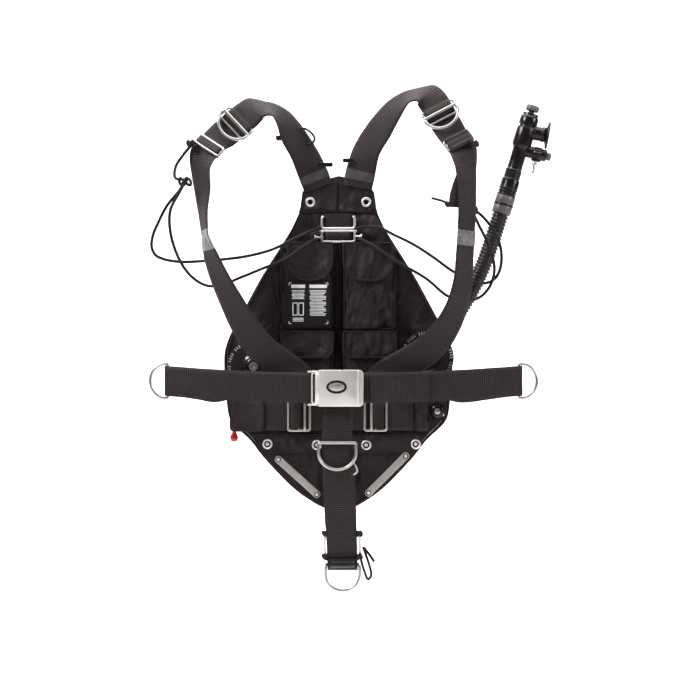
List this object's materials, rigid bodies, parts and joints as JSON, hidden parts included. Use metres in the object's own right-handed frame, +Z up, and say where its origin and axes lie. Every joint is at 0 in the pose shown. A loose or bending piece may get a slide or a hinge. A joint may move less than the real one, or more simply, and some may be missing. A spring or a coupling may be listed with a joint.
{
  "type": "buoyancy compensator vest",
  "caption": "Harness and wing buoyancy compensator: air cell with pockets, webbing shoulder straps, belt and crotch strap, steel rings and sliders, corrugated hose and power inflator.",
  "frame": {"origin": "front of the yoke seam tape, midway between the two yoke grommets", "axes": "+Z up with the vest hanging, -Y out of its front, +X towards the inflator hose"},
  "size_m": [0.6589, 0.1593, 0.8303],
  "materials": {
    "cordura": "woven black pack cloth",
    "webbing": "ribbed black harness webbing",
    "polished_steel": "polished stainless wire",
    "buckle_steel": "satin stainless sheet",
    "brushed_steel": "brushed stainless bar",
    "bungee": "braided cover over rubber",
    "hose_rubber": "moulded matt rubber",
    "bladder": "coated bladder film",
    "black_plastic": "moulded black plastic",
    "grey_plastic": "moulded grey plastic",
    "red_plastic": "glossy red knob"
  },
  "bodies": {
    "harness": {"back_panel": "cordura", "belt_web_left": "webbing", "belt_web_right": "webbing", "buckle_frame": "buckle_steel", "buckle_pin": "polished_steel", "butt_grommet_1": "polished_steel", "butt_grommet_2": "polished_steel", "butt_grommet_3": "polished_steel", "butt_grommet_4": "polished_steel", "butt_panel": "cordura", "chest_bungee_left": "bungee", "chest_bungee_right": "bungee", "chest_loop": "polished_steel", "chest_slider": "polished_steel", "chest_strap_slider_left": "polished_steel", "chest_strap_slider_right": "polished_steel", "chest_web": "webbing", "corrugated_hose": "hose_rubber", "crotch_strap": "webbing", "dump_valve": "black_plastic", "inflator_body": "black_plastic", "inflator_elbow": "black_plastic", "inner_bladder": "bladder", "lower_pocket_left": "cordura", "lower_pocket_right": "cordura", "mouthpiece": "hose_rubber", "quick_connect_nipple": "polished_steel", "rail_left": "brushed_steel", "rail_right": "brushed_steel", "rear_waist_web": "webbing", "shoulder_strap_left": "webbing", "shoulder_strap_right": "webbing", "side_valve_body": "black_plastic", "upper_pocket_left": "cordura", "upper_pocket_right": "cordura", "waist_pad_left": "cordura", "waist_pad_right": "cordura", "wing_outer_shell": "cordura", "yoke_grommet_left": "polished_steel", "yoke_grommet_right": "polished_steel", "yoke_panel": "cordura"},
    "upper_flap_left": {"upper_flap_left": "cordura"},
    "upper_flap_right": {"upper_flap_right": "cordura"},
    "lower_flap_left": {"lower_flap_left": "cordura"},
    "lower_flap_right": {"lower_flap_right": "cordura"},
    "buckle_lever": {"buckle_lever": "buckle_steel"},
    "belt_ring_left": {"belt_ring_left": "polished_steel"},
    "belt_ring_right": {"belt_ring_right": "polished_steel"},
    "shoulder_slider_left": {"shoulder_slider_left": "polished_steel"},
    "shoulder_slider_right": {"shoulder_slider_right": "polished_steel"},
    "shoulder_ring_left": {"shoulder_ring_left": "polished_steel"},
    "shoulder_ring_right": {"shoulder_ring_right": "polished_steel"},
    "crotch_ring_front": {"crotch_ring_front": "polished_steel"},
    "crotch_ring_tail": {"crotch_ring_tail": "polished_steel"},
    "waist_slider_left": {"waist_slider_left": "brushed_steel"},
    "waist_slider_right": {"waist_slider_right": "brushed_steel"},
    "deflate_button": {"deflate_button": "grey_plastic"},
    "inflate_button": {"inflate_button": "grey_plastic"},
    "side_valve_button": {"side_valve_button": "polished_steel"},
    "pull_knob": {"pull_knob": "red_plastic"}
  },
  "joints": [
    {"name": "upper_flap_left_lift", "type": "hinge", "parent": "harness", "child": "upper_flap_left", "pos_m": [-0.05, -0.0248, -0.0695], "axis": [1, 0, 0], "range_deg": [-25, 0]},
    {"name": "lower_flap_left_lift", "type": "hinge", "parent": "harness", "child": "lower_flap_left", "pos_m": [-0.05, -0.0248, -0.2155], "axis": [1, 0, 0], "range_deg": [-80, 0]},
    {"name": "upper_flap_right_lift", "type": "hinge", "parent": "harness", "child": "upper_flap_right", "pos_m": [0.052, -0.0248, -0.0695], "axis": [1, 0, 0], "range_deg": [-25, 0]},
    {"name": "lower_flap_right_lift", "type": "hinge", "parent": "harness", "child": "lower_flap_right", "pos_m": [0.052, -0.0248, -0.2155], "axis": [1, 0, 0], "range_deg": [-80, 0]},
    {"name": "buckle_lever_open", "type": "hinge", "parent": "harness", "child": "buckle_lever", "pos_m": [-0.033, -0.0991, -0.307], "axis": [0, 0, 1], "range_deg": [-100, 0]},
    {"name": "belt_ring_left_swing", "type": "hinge", "parent": "harness", "child": "belt_ring_left", "pos_m": [-0.277, -0.058, -0.296], "axis": [0, 0, 1], "range_deg": [-70, 70]},
    {"name": "belt_ring_right_swing", "type": "hinge", "parent": "harness", "child": "belt_ring_right", "pos_m": [0.295, -0.058, -0.296], "axis": [0, 0, 1], "range_deg": [-70, 70]},
    {"name": "shoulder_slider_left_adjust", "type": "slide", "parent": "harness", "child": "shoulder_slider_left", "axis": [-0.7286, -0.2226, -0.6477], "range_m": [-0.006, 0.006]},
    {"name": "shoulder_slider_right_adjust", "type": "slide", "parent": "harness", "child": "shoulder_slider_right", "axis": [0.4659, -0.2542, -0.8475], "range_m": [-0.006, 0.006]},
    {"name": "shoulder_ring_left_lift", "type": "hinge", "parent": "shoulder_slider_left", "child": "shoulder_ring_left", "pos_m": [-0.16528, -0.07382, 0.12355], "axis": [-0.6798, 0.12, 0.7235], "range_deg": [0, 110]},
    {"name": "shoulder_ring_right_lift", "type": "hinge", "parent": "shoulder_slider_right", "child": "shoulder_ring_right", "pos_m": [0.16549, -0.0723, 0.14121], "axis": [-0.8828, -0.0698, -0.4645], "range_deg": [0, 110]},
    {"name": "crotch_ring_front_lift", "type": "hinge", "parent": "harness", "child": "crotch_ring_front", "pos_m": [-0.001, -0.098, -0.395], "axis": [1, 0, 0], "range_deg": [-120, 0]},
    {"name": "crotch_ring_tail_swing", "type": "hinge", "parent": "harness", "child": "crotch_ring_tail", "pos_m": [0.0075, -0.0516, -0.5975], "axis": [1, 0, 0], "range_deg": [-60, 60]},
    {"name": "waist_slider_left_adjust", "type": "slide", "parent": "harness", "child": "waist_slider_left", "axis": [1, 0, 0], "range_m": [-0.01, 0.01]},
    {"name": "waist_slider_right_adjust", "type": "slide", "parent": "harness", "child": "waist_slider_right", "axis": [1, 0, 0], "range_m": [-0.01, 0.01]},
    {"name": "deflate_button_press", "type": "slide", "parent": "harness", "child": "deflate_button", "axis": [-0.29, 0, -0.957], "range_m": [0, 0.0035], "stiffness_N_per_m": 600, "springref_m": -0.002},
    {"name": "inflate_button_press", "type": "slide", "parent": "harness", "child": "inflate_button", "axis": [-0.9707, 0, 0.2402], "range_m": [0, 0.0035], "stiffness_N_per_m": 600, "springref_m": -0.002},
    {"name": "side_valve_button_press", "type": "slide", "parent": "harness", "child": "side_valve_button", "axis": [0, 1, 0], "range_m": [0, 0.003], "stiffness_N_per_m": 600, "springref_m": -0.002},
    {"name": "pull_knob_pull", "type": "slide", "parent": "harness", "child": "pull_knob", "axis": [0, 0, -1], "range_m": [0, 0.014], "stiffness_N_per_m": 150, "springref_m": -0.003}
  ]
}
